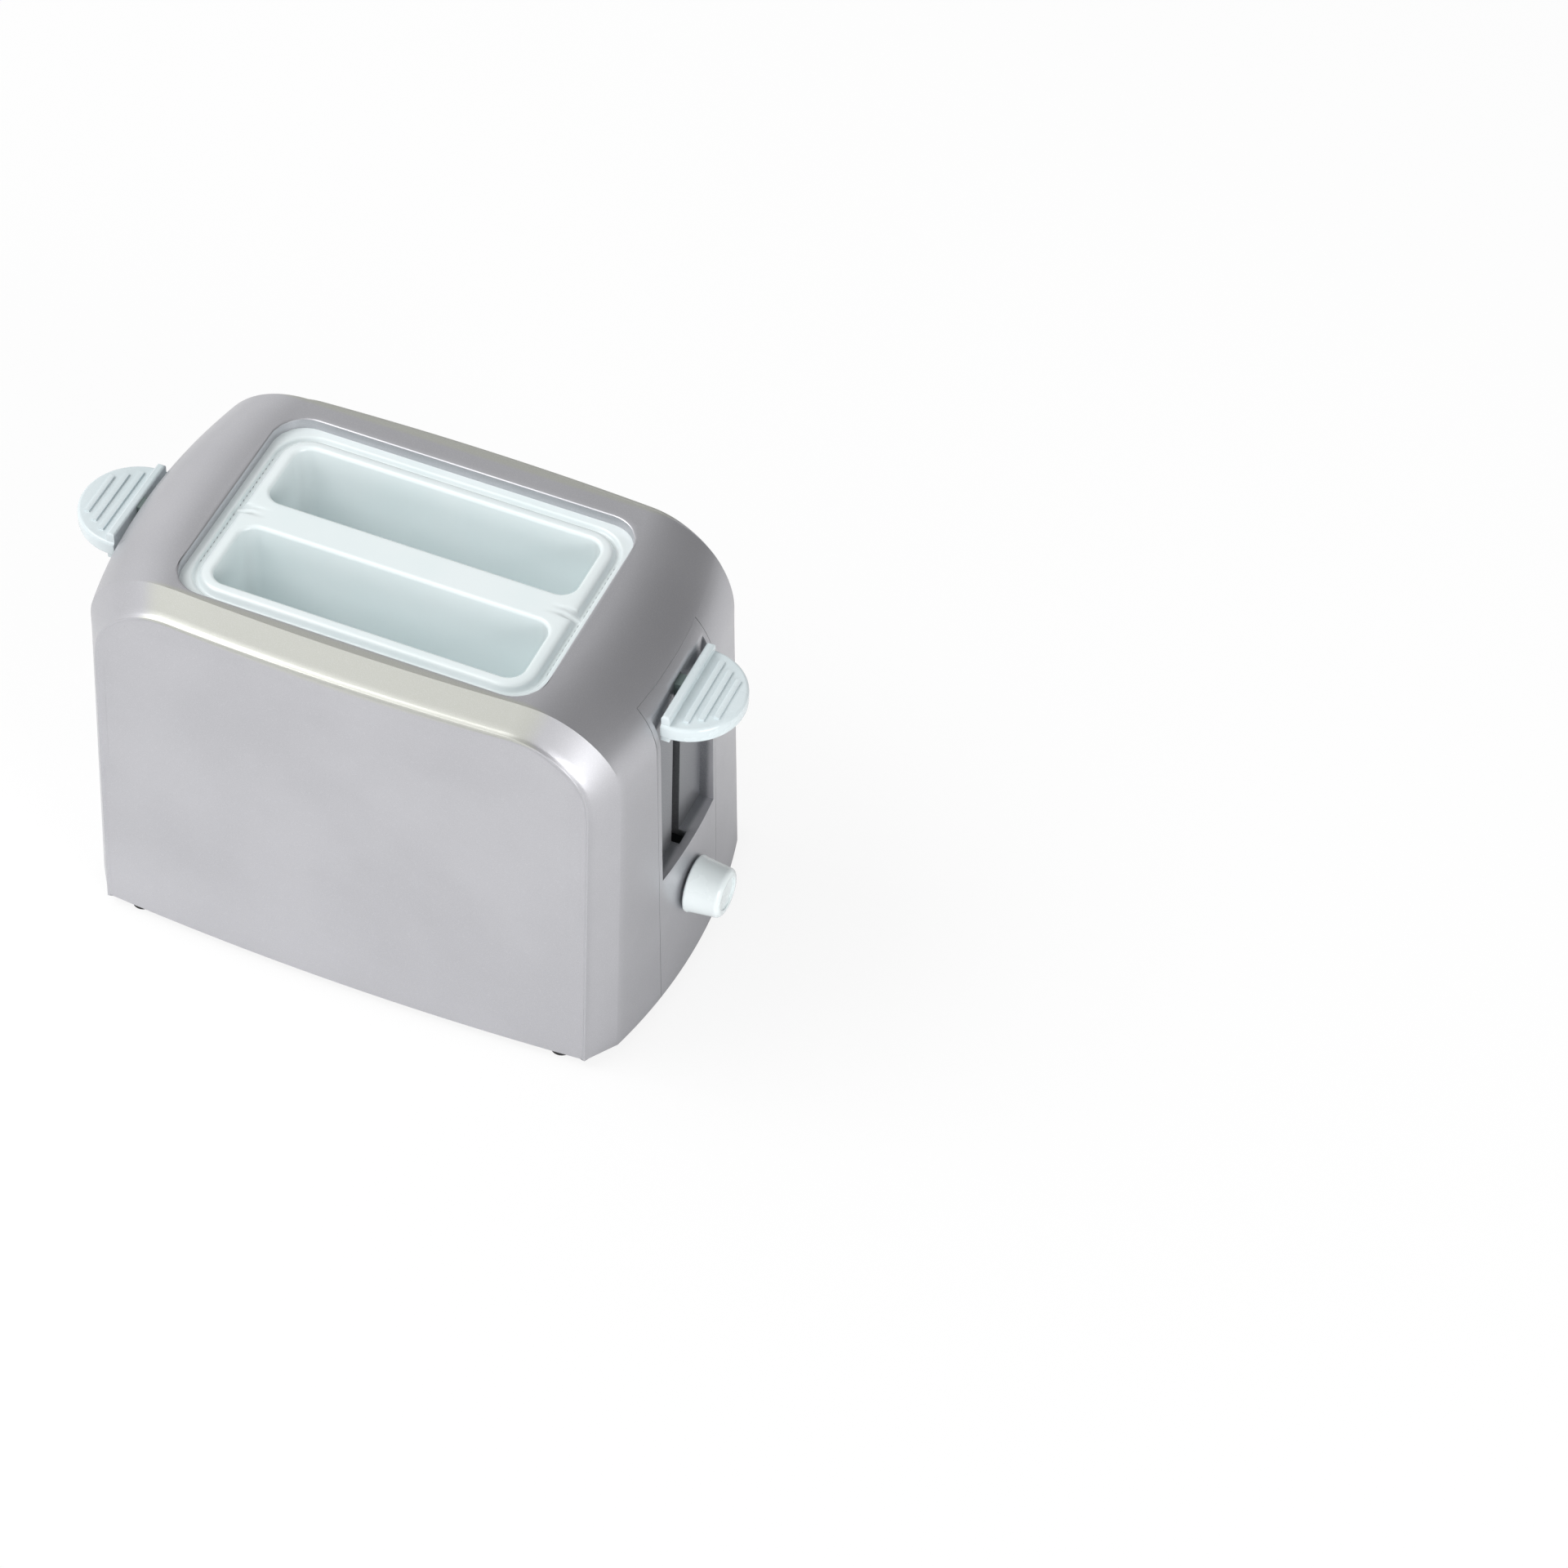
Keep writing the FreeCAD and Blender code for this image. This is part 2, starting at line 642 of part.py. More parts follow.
def push_tab():
    """The right-hand tab: half-round plate, upright grip and ribs."""
    low = "tab_top - tab_thickness"
    disc = doc.addObject("PartDesign::Body", "tab_plate")
    round_plate = disc.newObject("PartDesign::AdditiveCylinder", "plate")
    bind(round_plate, Radius="tab_radius", Height="tab_thickness")
    doc.recompute()
    soft = disc.newObject("PartDesign::Fillet", "edge")
    soft.Base = (round_plate, edges_of(
        round_plate.Shape, lambda middle, edge: edge.Closed and edge.BoundBox.ZLength < 1e-3))
    bind(soft, Radius="tab_edge")
    place(disc, "tab_centre", "works_y", low)
    grip = doc.addObject("PartDesign::Body", "grip")
    wall = grip.newObject("PartDesign::AdditiveBox", "wall")
    bind(wall, Length="grip_thickness", Width="2 * grip_half_width",
         Height="grip_top - grip_bottom")
    doc.recompute()
    ease = grip.newObject("PartDesign::Fillet", "ease")
    top = wall.Shape.BoundBox.ZMax
    ease.Base = (wall, edges_of(wall.Shape, lambda middle, edge: middle.z > top - 1e-3))
    bind(ease, Radius="grip_edge")
    place(grip, "grip_inner", "works_y - grip_half_width", "grip_bottom")
    half = common(disc, box(("grip_inner", "tab_centre + tab_radius"),
                            works("tab_radius"), (low, "tab_top")))
    ribs = []
    for count in (1, 2, 3):
        x = f"grip_inner + grip_thickness + {count} * rib_pitch"
        half_rib = f"rib_half_length - {count} * rib_shortening + rib_shortening"
        ribs.append(box((f"{x} - rib_width / 2", f"{x} + rib_width / 2"), works(half_rib),
                        ("tab_top - tab_edge", "tab_top + rib_height")))
    socket = box(("grip_inner - overcut", "grip_inner + tongue_length"),
                 works("stem_width / 2 - tongue_clearance"),
                 ("stem_bottom - tongue_clearance", "tongue_top"))
    hole = post("grip_inner + tab_screw_setback", "works_y", (f"{low} - overcut", "stem_bottom"),
                "tab_screw_radius")
    sink = post("grip_inner + tab_screw_setback", "works_y", (f"{low} - overcut", f"{low} + screw_head_sink"),
                "tab_screw_head")
    return cut(fuse(half, grip, *ribs), socket, hole, sink)


def tab_screw():
    low = "tab_top - tab_thickness"
    return fuse(post("grip_inner + tab_screw_setback", "works_y", (low, f"{low} + screw_head_sink"),
                     "tab_screw_head"),
                post("grip_inner + tab_screw_setback", "works_y", (low, "tongue_top"),
                     "tab_screw_radius"))


def latch_catch():
    y = works("hub_width / 2")[0]
    far = "works_y + catch_inner + catch_width"
    low = "catch_top - catch_height"
    plate = box(("arm_outer", "arm_outer + catch_plate"), (y, far), (low, "catch_top"))
    ledge = box(("arm_outer", "arm_outer + catch_plate + catch_reach"),
                ("works_y + catch_inner", far), (low, "catch_top"))
    holes = [bar(("arm_outer - overcut", "arm_outer + catch_plate + overcut"), spot,
                 "catch_top - catch_height / 2", "catch_screw_radius")
             for spot in ("works_y - catch_screw_offset", "works_y + catch_screw_offset")]
    node(cut(fuse(plate, ledge), *holes), "latch_catch")


def catch_screws():
    middle = "catch_top - catch_height / 2"
    screws = [fuse(bar(("arm_outer - arm_thickness", "arm_outer + catch_plate"), spot, middle,
                       "catch_screw_radius"),
                   bar(("arm_outer + catch_plate", "arm_outer + catch_plate + catch_screw_rise"), spot,
                       middle, "catch_screw_head"))
              for spot in ("works_y - catch_screw_offset", "works_y + catch_screw_offset")]
    node(separate(*screws), "catch_screws")


def carriage():
    shelf("-", "front")
    shelf("+", "back")
    middle = "catch_top - catch_height / 2"
    threads = [bar(("arm_outer - arm_thickness", "arm_outer + overcut"), spot, middle,
                   "catch_screw_radius") for spot in ("works_y - catch_screw_offset", "works_y + catch_screw_offset")]
    node(cut(yoke(), *threads), "carriage_yoke_right")
    node(mirrored(yoke()), "carriage_yoke_left")
    for build, name in ((bushings, "carriage_bushings"), (push_tab, "push_tab"),
                        (tab_screw, "tab_screw")):
        right = build()
        node(right, f"{name}_right")
        node(mirrored(right), f"{name}_left")
    latch_catch()
    catch_screws()


# Timer knob with the latch cam on its shaft

def knob():
    tip = "knob_length - knob_edge"
    points = [("shaft_radius", "0"), ("knob_radius", "0"), ("knob_radius", "knob_skirt"),
              ("knob_tip_radius", tip), ("knob_tip_radius - knob_edge", "knob_length"),
              ("knob_cap_radius", "knob_length"),
              ("knob_cap_radius", "knob_length - knob_cap_recess - knob_cap_thickness"),
              ("knob_screw_head", "knob_length - knob_cap_recess - knob_cap_thickness"),
              ("knob_screw_head", "knob_length - knob_screw_depth"), ("knob_screw_radius", "knob_length - knob_screw_depth"),
              ("knob_screw_radius", "knob_length - knob_screw_depth - knob_wall"),
              ("shaft_radius", "knob_length - knob_screw_depth - knob_wall")]
    node(turned("knob_form", points, "knob_base", "works_y", "knob_height", ALONG_X),
         "timer_knob")
    face = "(knob_face - knob_cap_recess)"
    node(bar((f"{face} - knob_cap_thickness", face), "works_y", "knob_height",
             "knob_cap_radius"), "knob_cap")
    head = bar(("screw_head_face", f"{face} - knob_cap_thickness"), "works_y", "knob_height",
               "knob_screw_head")
    shank = bar(("knob_face - knob_screw_length", "screw_head_face"), "works_y", "knob_height",
                "knob_screw_radius")
    node(fuse(head, shank), "knob_screw")


def knob_shaft():
    rod = bar(("shaft_inner", "screw_head_face - knob_wall"), "works_y", "knob_height", "shaft_radius")
    bore = bar(("knob_face - knob_screw_length", "knob_face"), "works_y", "knob_height",
               "knob_screw_radius")
    node(cut(rod, bore), "knob_shaft")
    sleeve_x = ("knob_bushing_inner", "knob_base - knob_gap")
    sleeve = cut(bar(sleeve_x, "works_y", "knob_height", "knob_bushing_radius"),
                 bar(sleeve_x, "works_y", "knob_height", "shaft_radius + running_gap"))
    node(sleeve, "knob_bushing")


def latch_cam():
    sector = doc.addObject("Part::Cylinder", "sector")
    bind(sector, Radius="cam_radius", Height="cam_thickness", Angle="cam_sweep")
    start = FreeCAD.Rotation(Z_AXIS, size("cam_rest_angle") - 270)
    place(sector, "shaft_inner", "works_y", "knob_height", ALONG_X.multiply(start))
    across = ("shaft_inner", "shaft_inner + cam_thickness")
    hub = bar(across, "works_y", "knob_height", "cam_hub_radius")
    node(cut(fuse(sector, hub), bar(across, "works_y", "knob_height", "shaft_radius")),
         "latch_cam")


def write_parts():
    doc.recompute()
    faults = [thing.Label for thing in doc.Objects
              if "Invalid" in thing.State or "Error" in thing.State]
    for part in NODES:
        if part.Shape.isNull() or not part.Shape.isValid():
            faults.append(part.Label)
    if faults:
        raise RuntimeError("failed: " + ", ".join(faults))
    os.makedirs("parts", exist_ok=True)
    for part in NODES:
        part.Shape.exportStep(f"parts/{part.Label}.step")
        box_size = part.Shape.BoundBox
        print(f"{part.Label}: {len(part.Shape.Solids)} solid, {part.Shape.Volume:.0f} mm3, "
              f"x {box_size.XMin:.1f} {box_size.XMax:.1f}, y {box_size.YMin:.1f} "
              f"{box_size.YMax:.1f}, z {box_size.ZMin:.1f} {box_size.ZMax:.1f}")


fill_sheet()
outer_form = block()
inner_form = block("wall")
deeper_form = block("(wall + panel_lip)")
shell_skin = cut(outer_form, inner_form)
panel_lips = cut(inner_form, deeper_form)
housing_shell(outer_form, inner_form)
end_panel(outer_form, shell_skin, panel_lips, "end_panel_right", True)
end_panel(outer_form, shell_skin, panel_lips, "end_panel_left", False)
slot_insert(inner_form)
base_plate(block("(wall + fit_gap)"))
feet()
base_screws()
guide_rod("+", "right")
guide_rod("-", "left")
carriage()
knob()
knob_shaft()
latch_cam()
write_parts()
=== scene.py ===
import bmesh
import bpy
import numpy as np
from mathutils import Matrix, Vector


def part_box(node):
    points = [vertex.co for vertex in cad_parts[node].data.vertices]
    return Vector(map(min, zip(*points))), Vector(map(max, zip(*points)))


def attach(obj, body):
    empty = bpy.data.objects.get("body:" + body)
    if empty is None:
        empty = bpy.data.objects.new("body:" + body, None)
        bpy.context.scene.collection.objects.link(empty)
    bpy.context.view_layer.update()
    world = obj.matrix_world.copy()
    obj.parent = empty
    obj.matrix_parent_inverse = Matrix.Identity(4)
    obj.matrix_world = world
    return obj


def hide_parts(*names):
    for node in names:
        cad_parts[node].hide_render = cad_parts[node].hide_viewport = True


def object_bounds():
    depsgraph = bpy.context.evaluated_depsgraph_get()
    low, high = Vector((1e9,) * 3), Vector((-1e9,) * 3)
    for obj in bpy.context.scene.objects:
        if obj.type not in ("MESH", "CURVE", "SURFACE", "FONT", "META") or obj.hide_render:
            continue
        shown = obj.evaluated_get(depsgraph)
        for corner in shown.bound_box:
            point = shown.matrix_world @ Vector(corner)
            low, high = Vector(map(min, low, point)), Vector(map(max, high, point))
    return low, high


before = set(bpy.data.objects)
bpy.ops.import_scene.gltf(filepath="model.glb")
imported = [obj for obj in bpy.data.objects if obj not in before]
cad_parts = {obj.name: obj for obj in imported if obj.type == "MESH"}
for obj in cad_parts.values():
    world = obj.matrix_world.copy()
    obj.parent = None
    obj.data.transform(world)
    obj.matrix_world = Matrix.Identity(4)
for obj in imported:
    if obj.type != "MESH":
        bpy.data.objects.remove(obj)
cad_box = [list(corner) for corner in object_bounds()]
MM = 0.001

# Sizes of the body in millimetres, as in the solids
HEIGHT = cad_box[1][2] / MM
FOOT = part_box("base_plate")[0].z / MM
HALF_LENGTH = 80.6
HALF_DEPTH = 50.5
END_RADIUS = 157.0
FACE_RADIUS = 869.0
END_DRAFT = 2.5
FACE_DRAFT = 5.55
SHOULDER = 24.0
WALL = 2.4
WORKS_Y = -2.4
PANEL_HALF = 17.6
PANEL_TOP = 111.0
OPENING = (50.9, 34.2)
OPENING_RADIUS = 9.0
RISE = HEIGHT - FOOT

# The slanted band's width low on the rim and along the top, on the end and on the face
BAND_ON_END = (8.0, 5.55)
BAND_ON_FACE = (3.3, 6.4)
BEAD = 0.55
STRIP_DEPTH = 0.28
STRIP_END = 8.0


# Shape helpers

def smooth(low, high, value):
    t = np.clip((value - low) / (high - low), 0, 1)
    return t * t * (3 - 2 * t)


def end_radius_at(z):
    """Radius of the bowed end about its upright axis: it shrinks evenly by the draft."""
    return END_RADIUS - END_DRAFT * (z - FOOT) / RISE


def end_x(z_radius, y):
    """X of the bowed end: a circle about an upright axis, at a given radius."""
    return HALF_LENGTH - END_RADIUS + np.sqrt(z_radius ** 2 - y ** 2)


def face_y(x, z):
    """Depth of the bowed front face: a circle of large radius, drafted inwards upwards."""
    reach = FACE_RADIUS - FACE_DRAFT * (z - FOOT) / RISE
    return HALF_DEPTH - FACE_RADIUS + np.sqrt(reach ** 2 - x ** 2)


def grid_piece(points, kept=None, closed=False):
    """Points and quads from an array of rows and columns of points in millimetres."""
    rows, cols = points.shape[:2]
    index = np.arange(rows * cols).reshape(rows, cols)
    if closed:
        index = np.concatenate([index, index[:, :1]], axis=1)
    quads = np.stack([index[:-1, :-1], index[:-1, 1:], index[1:, 1:], index[1:, :-1]], axis=-1)
    if kept is not None:
        quads = quads[kept]
    return points.reshape(-1, 3), quads.reshape(-1, 4)


def build(name, patches, body, material, replaced, merge=0.01, angle=40.0):
    """Joins patches into one piece, closes their seams and gives them a body and a finish."""
    points, faces, start = [], [], 0
    for verts, quads in patches:
        points.append(verts)
        faces.append(quads + start)
        start += len(verts)
    points = np.concatenate(points) * MM
    faces = np.concatenate(faces)
    mesh = bpy.data.meshes.new(name)
    mesh.from_pydata(points.tolist(), [], faces.tolist())
    piece = bpy.data.objects.new(name, mesh)
    bpy.context.scene.collection.objects.link(piece)
    weld(mesh, merge * MM)
    finish_piece(piece, body, material, replaced, angle)
    return piece


def weld(mesh, distance):
    """Merges points that lie together, so that patches share their seams."""
    work = bmesh.new()
    work.from_mesh(mesh)
    bmesh.ops.remove_doubles(work, verts=work.verts, dist=distance)
    work.to_mesh(mesh)
    work.free()


def face_outwards(mesh):
    """Turns every face of the shell outwards.

    That is away from the middle of the body, and round the opening's lip it is upwards and
    towards the opening's middle.
    """
    middle = Vector((0, WORKS_Y * MM, HEIGHT / 2 * MM))
    reach = [(half + 0.5) * MM for half in OPENING]
    work = bmesh.new()
    work.from_mesh(mesh)
    for face in work.faces:
        away = face.calc_center_median() - middle
        if abs(away.x) < reach[0] and abs(away.y) < reach[1]:
            away = Vector((-away.x, -away.y, away.z))
        if face.normal.dot(away) < 0:
            face.normal_flip()
    work.to_mesh(mesh)
    work.free()


def sharp_border(mesh):
    """Marks the open border sharp, so the wall's rim doesn't shade the faces beside it."""
    work = bmesh.new()
    work.from_mesh(mesh)
    for edge in work.edges:
        if edge.is_boundary:
            edge.smooth = False
    work.to_mesh(mesh)
    work.free()


def finish_piece(piece, body, material, replaced, angle):
    """Gives a piece its material, smooth shading, body and the nodes it replaces."""
    piece.data.materials.clear()
    piece.data.materials.append(material[0])
    piece.data.shade_smooth()
    piece.data.set_sharp_from_angle(angle=np.radians(angle))
    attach(piece, body)
    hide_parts(*replaced)


def softened(node, name, body, material, width, segments=3):
    """A welded copy of a solid with its edges rounded."""
    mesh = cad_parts[node].data.copy()
    mesh.name = name
    piece = bpy.data.objects.new(name, mesh)
    bpy.context.scene.collection.objects.link(piece)
    weld(mesh, 0.002 * MM)
    bevel = piece.modifiers.new("rounding", "BEVEL")
    bevel.width = width * MM
    bevel.segments = segments
    bevel.limit_method = "ANGLE"
    bevel.angle_limit = np.radians(35)
    bevel.harden_normals = True
    finish_piece(piece, body, material, (node,), 35.0)
    return piece


def rounded_outline(half_x, low_y, high_y, radii, per_corner=10, per_side=24):
    """A rectangle with a radius at each corner, as one closed row of (x, y) points."""
    corners = [(half_x, low_y, -90), (half_x, high_y, 0), (-half_x, high_y, 90),
               (-half_x, low_y, 180)]
    rows = []
    for (x, y, start), radius in zip(corners, radii):
        turn = np.radians(start + np.linspace(0, 90, per_corner))
        cx = x - np.sign(x) * radius
        cy = y - (1 if y == high_y else -1) * radius
        rows.append(np.stack([cx + radius * np.cos(turn), cy + radius * np.sin(turn)], axis=1))
    points = []
    for this, after in zip(rows, rows[1:] + rows[:1]):
        side = np.linspace(this[-1], after[0], per_side + 1)[1:-1]
        points += [this, side]
    return np.concatenate(points)


def at_height(outline, z):
    return np.concatenate([outline, np.full((len(outline), 1), z)], axis=1)


def lathe(profile, centre, around=64):
    """(radius, along) profile turned about an axis along X."""
    turn = np.linspace(0, 2 * np.pi, around, endpoint=False)
    radius, along = np.array(profile).T
    x = centre[0] + along[:, None] + 0 * turn
    y = centre[1] + radius[:, None] * np.sin(turn)
    z = centre[2] + radius[:, None] * np.cos(turn)
    return grid_piece(np.stack([x, y, z], axis=-1), closed=True)


# Materials

# Where colours change, in metres: painted glow deep in the wells, painted reflection on the
# slanted band, painted shade in the window
WELL_GLOW = (0.100, 0.114)
BAND_LEVEL = (0.1070, 0.1082)
WINDOW_DEPTH = (0.0765, 0.0780)
WINDOW_TOP = (0.098, 0.103)


class Sock:
    """A shader socket that does arithmetic by adding Math nodes."""

    def __init__(self, mat, out):
        self.mat, self.out = mat, out

    def maths(self, operation, other, swap=False):
        first, second = (other, self) if swap else (self, other)
        return self.mat.node("ShaderNodeMath", {"operation": operation}, {0: first, 1: second})

    def __add__(self, other):
        return self.maths("ADD", other)

    def __mul__(self, other):
        return self.maths("MULTIPLY", other)

    def __abs__(self):
        return self.mat.node("ShaderNodeMath", {"operation": "ABSOLUTE"}, {0: self})

    def __sub__(self, other):
        return self.maths("SUBTRACT", other)

    def __rsub__(self, other):
        return self.maths("SUBTRACT", other, swap=True)

    __radd__ = __add__
    __rmul__ = __mul__


class Paint:
    """A node material: one Principled shader fed by small expressions."""

    def __init__(self, name, slot, **fixed):
        self.made = bpy.data.materials.new(name)
        self.made.use_nodes = True
        self.slot = slot
        self.tree = self.made.node_tree
        self.shader = self.tree.nodes["Principled BSDF"]
        for socket, value in fixed.items():
            self.shader.inputs[socket.replace("_", " ")].default_value = value
        self.place = self.node("ShaderNodeTexCoord", {}, {}, "Object")

    def node(self, kind, settings, inputs, output=0):
        made = self.tree.nodes.new(kind)
        for key, value in settings.items():
            setattr(made, key, value)
        for key, value in inputs.items():
            self.feed(made.inputs[key], value)
        return Sock(self, made.outputs[output])

    def feed(self, socket, value):
        if isinstance(value, Sock):
            self.tree.links.new(value.out, socket)
        else:
            socket.default_value = value

    def axes(self):
        """X, Y and Z of the place on the object."""
        split = self.node("ShaderNodeSeparateXYZ", {}, {0: self.place}).out.node
        return [Sock(self, split.outputs[axis]) for axis in "XYZ"]

    def noise(self, scale, detail=3.0, vector=None):
        return self.node("ShaderNodeTexNoise", {}, {"Vector": vector or self.place,
                                                    "Scale": scale, "Detail": detail})

    def ramp(self, value, low, high, to_low=0.0, to_high=1.0):
        return self.node("ShaderNodeMapRange", {"interpolation_type": "SMOOTHSTEP"},
                         {"Value": value, "From Min": low, "From Max": high,
                          "To Min": to_low, "To Max": to_high})

    def mix(self, factor, first, second):
        return self.node("ShaderNodeMix", {"data_type": "RGBA"},
                         {0: factor, 6: first, 7: second}, 2)

    def bump(self, height, strength, distance):
        self.set("Normal", self.node("ShaderNodeBump", {}, {"Height": height,
                 "Strength": strength, "Distance": distance}))

    def set(self, socket, value):
        self.feed(self.shader.inputs[socket], value)


def srgb(red, green, blue):
    """An 8-bit display colour as linear RGBA."""
    return tuple(((value / 255 + 0.055) / 1.055) ** 2.4 for value in (red, green, blue)) + (1,)


def moulded(name, slot, colour, darker, roughness, grain=2600, **fixed):
    """Moulded plastic: faint mottling, uneven gloss and a fine skin texture.

    Thin walls let light through; with an emission strength this is a painted glow in their deep
    parts.
    """
    paint = Paint(name, slot, **fixed)
    cloud = paint.noise(38.0, 4.0)
    paint.set("Base Color", paint.mix(paint.ramp(cloud, 0.35, 0.7), colour, darker))
    paint.set("Roughness", paint.ramp(paint.noise(160.0), 0.3, 0.7,
                                      roughness - 0.015, roughness + 0.02))
    paint.bump(paint.noise(grain, 2.0), 0.10, 0.0001)
    if "Emission_Strength" in fixed:
        # Painted glow: emission in the plastic's colour, full below the lower level and gone
        # above the upper one
        deep = paint.ramp(paint.axes()[2], *WELL_GLOW, 1.0, 0.0)
        paint.set("Emission Color", paint.mix(deep, (0, 0, 0, 1), colour))
    return paint.made, slot


def shell_paint(name, paints_band_reflection):
    """Silver-grey coat: metallic sheen, fine flake, soft mottling and a brushed grain.

    On the shell the slanted band along each face is a little warmer, a painted reflection; on
    the end panels the sunk window is darker, painted shade.
    """
    paint = Paint(name, "shell_grey", Metallic=0.85, Coat_Weight=0.15, Coat_Roughness=0.2)
    x, y, z = paint.axes()
    cloud = paint.ramp(paint.noise(22.0, 4.0), 0.35, 0.7)
    flake = paint.ramp(paint.noise(5200.0, 1.0), 0.45, 0.75)
    base = paint.mix(cloud, srgb(190, 190, 194), srgb(184, 184, 188))
    if paints_band_reflection:
        # Painted reflection: the slanted band gets a warmer tint
        band_reflection = paint.ramp(abs(y) * 0.74 + z * 0.67, *BAND_LEVEL)
        base = paint.mix(band_reflection, base, srgb(191, 192, 185))
    else:
        # Painted shade: the end panel's sunk window is darker below its top
        sunk = paint.ramp(abs(x), *WINDOW_DEPTH, 1.0, 0.0)
        below = paint.ramp(z, *WINDOW_TOP, 1.0, 0.0)
        base = paint.mix(sunk * below, base, srgb(138, 140, 144))
    paint.set("Base Color", paint.mix(flake * 0.22, base, srgb(226, 226, 230)))
    grain = paint.node("ShaderNodeMapping", {}, {"Vector": paint.place,
                                                 "Scale": (0.04, 1.0, 1.0)})
    brushed = paint.noise(2400.0, 2.0, grain)
    paint.set("Roughness", paint.ramp(paint.noise(30.0), 0.3, 0.7, 0.34, 0.38) + brushed * 0.08)
    paint.bump(brushed * 0.7 + paint.noise(2900.0, 1.0) * 0.3, 0.10, 0.0001)
    return paint.made, paint.slot


def steel(name, slot, roughness):
    """Drawn steel: streaks along the height."""
    paint = Paint(name, slot, Metallic=1.0)
    streaks = paint.node("ShaderNodeMapping", {}, {"Vector": paint.place,
                                                   "Scale": (1.0, 1.0, 0.02)})
    lines = paint.noise(3000.0, 2.0, streaks)
    paint.set("Base Color", paint.mix(lines, srgb(150, 150, 154), srgb(196, 196, 200)))
    paint.set("Roughness", lines * 0.15 + roughness)
    return paint.made, slot


SILVER = shell_paint("silver_coat", True)
PANEL = shell_paint("silver_panel", False)
# The mint insert carries a painted glow deep in its wells, by emission
MINT = moulded("mint_gloss", "mint_plastic", srgb(230, 238, 239), srgb(226, 236, 237), 0.24,
               Coat_Weight=0.4, Coat_Roughness=0.1, Emission_Strength=0.11)
TRIM = moulded("mint_trim_gloss", "mint_trim", srgb(216, 226, 229), srgb(209, 221, 224), 0.26,
               Coat_Weight=0.4, Coat_Roughness=0.1)
# Painted light: the knob is the mint trim made lighter, as the lamp light falls on it
KNOB_LIT_TRIM = moulded("knob_lit_trim_gloss", "mint_trim", srgb(236, 243, 244), srgb(231, 240, 241), 0.26,
               Coat_Weight=0.4, Coat_Roughness=0.1)
WORKS = moulded("works_grey", "works_plastic", srgb(108, 122, 120), srgb(92, 106, 104), 0.5)
DARK = moulded("works_black", "dark_plastic", srgb(46, 47, 50), srgb(38, 39, 42), 0.5)
FOOT_PAD = moulded("foot_pad", "foot_rubber", srgb(44, 43, 42), srgb(34, 34, 34), 0.7)
ROD = steel("rod_steel", "rod_steel", 0.22)
SPRING = steel("spring_steel", "spring_steel", 0.25)
SCREW = steel("screw_steel", "screw_steel", 0.3)


# Housing shell

def profile(count_end=46, count_round=26):
    """(radius, height) of the end and shoulder in its middle plane, bottom to top."""
    slope = END_DRAFT / RISE
    tilt = np.arctan(slope)
    centre_z = HEIGHT - SHOULDER
    centre_r = end_radius_at(centre_z) - SHOULDER / np.cos(tilt)
    turn = np.linspace(tilt, np.pi / 2, count_round)
    arc = np.stack([centre_r + SHOULDER * np.cos(turn), centre_z + SHOULDER * np.sin(turn)], 1)
    heights = np.linspace(FOOT, arc[0, 1], count_end)
    side = np.stack([end_radius_at(heights), heights], axis=1)
    return np.concatenate([side[:-1], arc])


def with_row_at(rows, height):
    """Adds one profile point at a given height."""
    spot = np.searchsorted(rows[:, 1], height)
    before, after = rows[spot - 1], rows[spot]
    share = (height - before[1]) / (after[1] - before[1])
    return np.insert(rows, spot, before + share * (after - before), axis=0)


def rim_lines():
    """Outer and inner lines of the chamfer from the bottom corner to the top middle.

    The sharp edge is where the bowed face meets the bowed end; the lines lie on either
    side of it, wider on the end at the corners and wider on the face along the top.
    """
    rows = with_row_at(profile(), PANEL_TOP)
    radius, z = rows.T
    y = np.full_like(z, 45.0)
    for _ in range(12):
        y = face_y(end_x(radius, y), z)
    x = end_x(radius, y)
    flat = np.linspace(x[-1], 0, 30)[1:]
    x = np.concatenate([x, flat])
    z = np.concatenate([z, np.full_like(flat, HEIGHT)])
    y = face_y(x, z)
    lift = smooth(HEIGHT - SHOULDER - 6, HEIGHT - 2, z)
    on_end = BAND_ON_END[0] + (BAND_ON_END[1] - BAND_ON_END[0]) * lift
    on_face = BAND_ON_FACE[0] + (BAND_ON_FACE[1] - BAND_ON_FACE[0]) * lift
    length = np.concatenate([[0], np.cumsum(np.hypot(np.diff(x), np.diff(z)))])
    along = np.stack([np.gradient(x, length), np.gradient(z, length)], axis=1)
    along /= np.linalg.norm(along, axis=1, keepdims=True)
    inward = np.stack([-along[:, 1], along[:, 0]], axis=1)
    edge = np.stack([x, z], axis=1)
    return rows, edge, y, on_end, on_face, inward


SIDE_STEPS = 8
WINDOW_STEPS = 10
ROWS, EDGE, EDGE_Y, ON_END, ON_FACE, INWARD = rim_lines()
INNER_Y = EDGE_Y - ON_END
WRAP = len(ROWS)


def inner_line():
    """The chamfer's line on the end, shoulder and top."""
    x = np.where(np.arange(len(EDGE)) < WRAP, 0, EDGE[:, 0])
    x[:WRAP] = end_x(ROWS[:, 0], INNER_Y[:WRAP])
    shift = x[WRAP - 1] - EDGE[WRAP - 1, 0]
    x[WRAP:] += shift * EDGE[WRAP:, 0] / EDGE[WRAP - 1, 0]
    y = np.concatenate([INNER_Y[:WRAP], face_y(x[WRAP:], HEIGHT) - ON_END[WRAP:]])
    return np.stack([x, y, EDGE[:, 1]], axis=1)


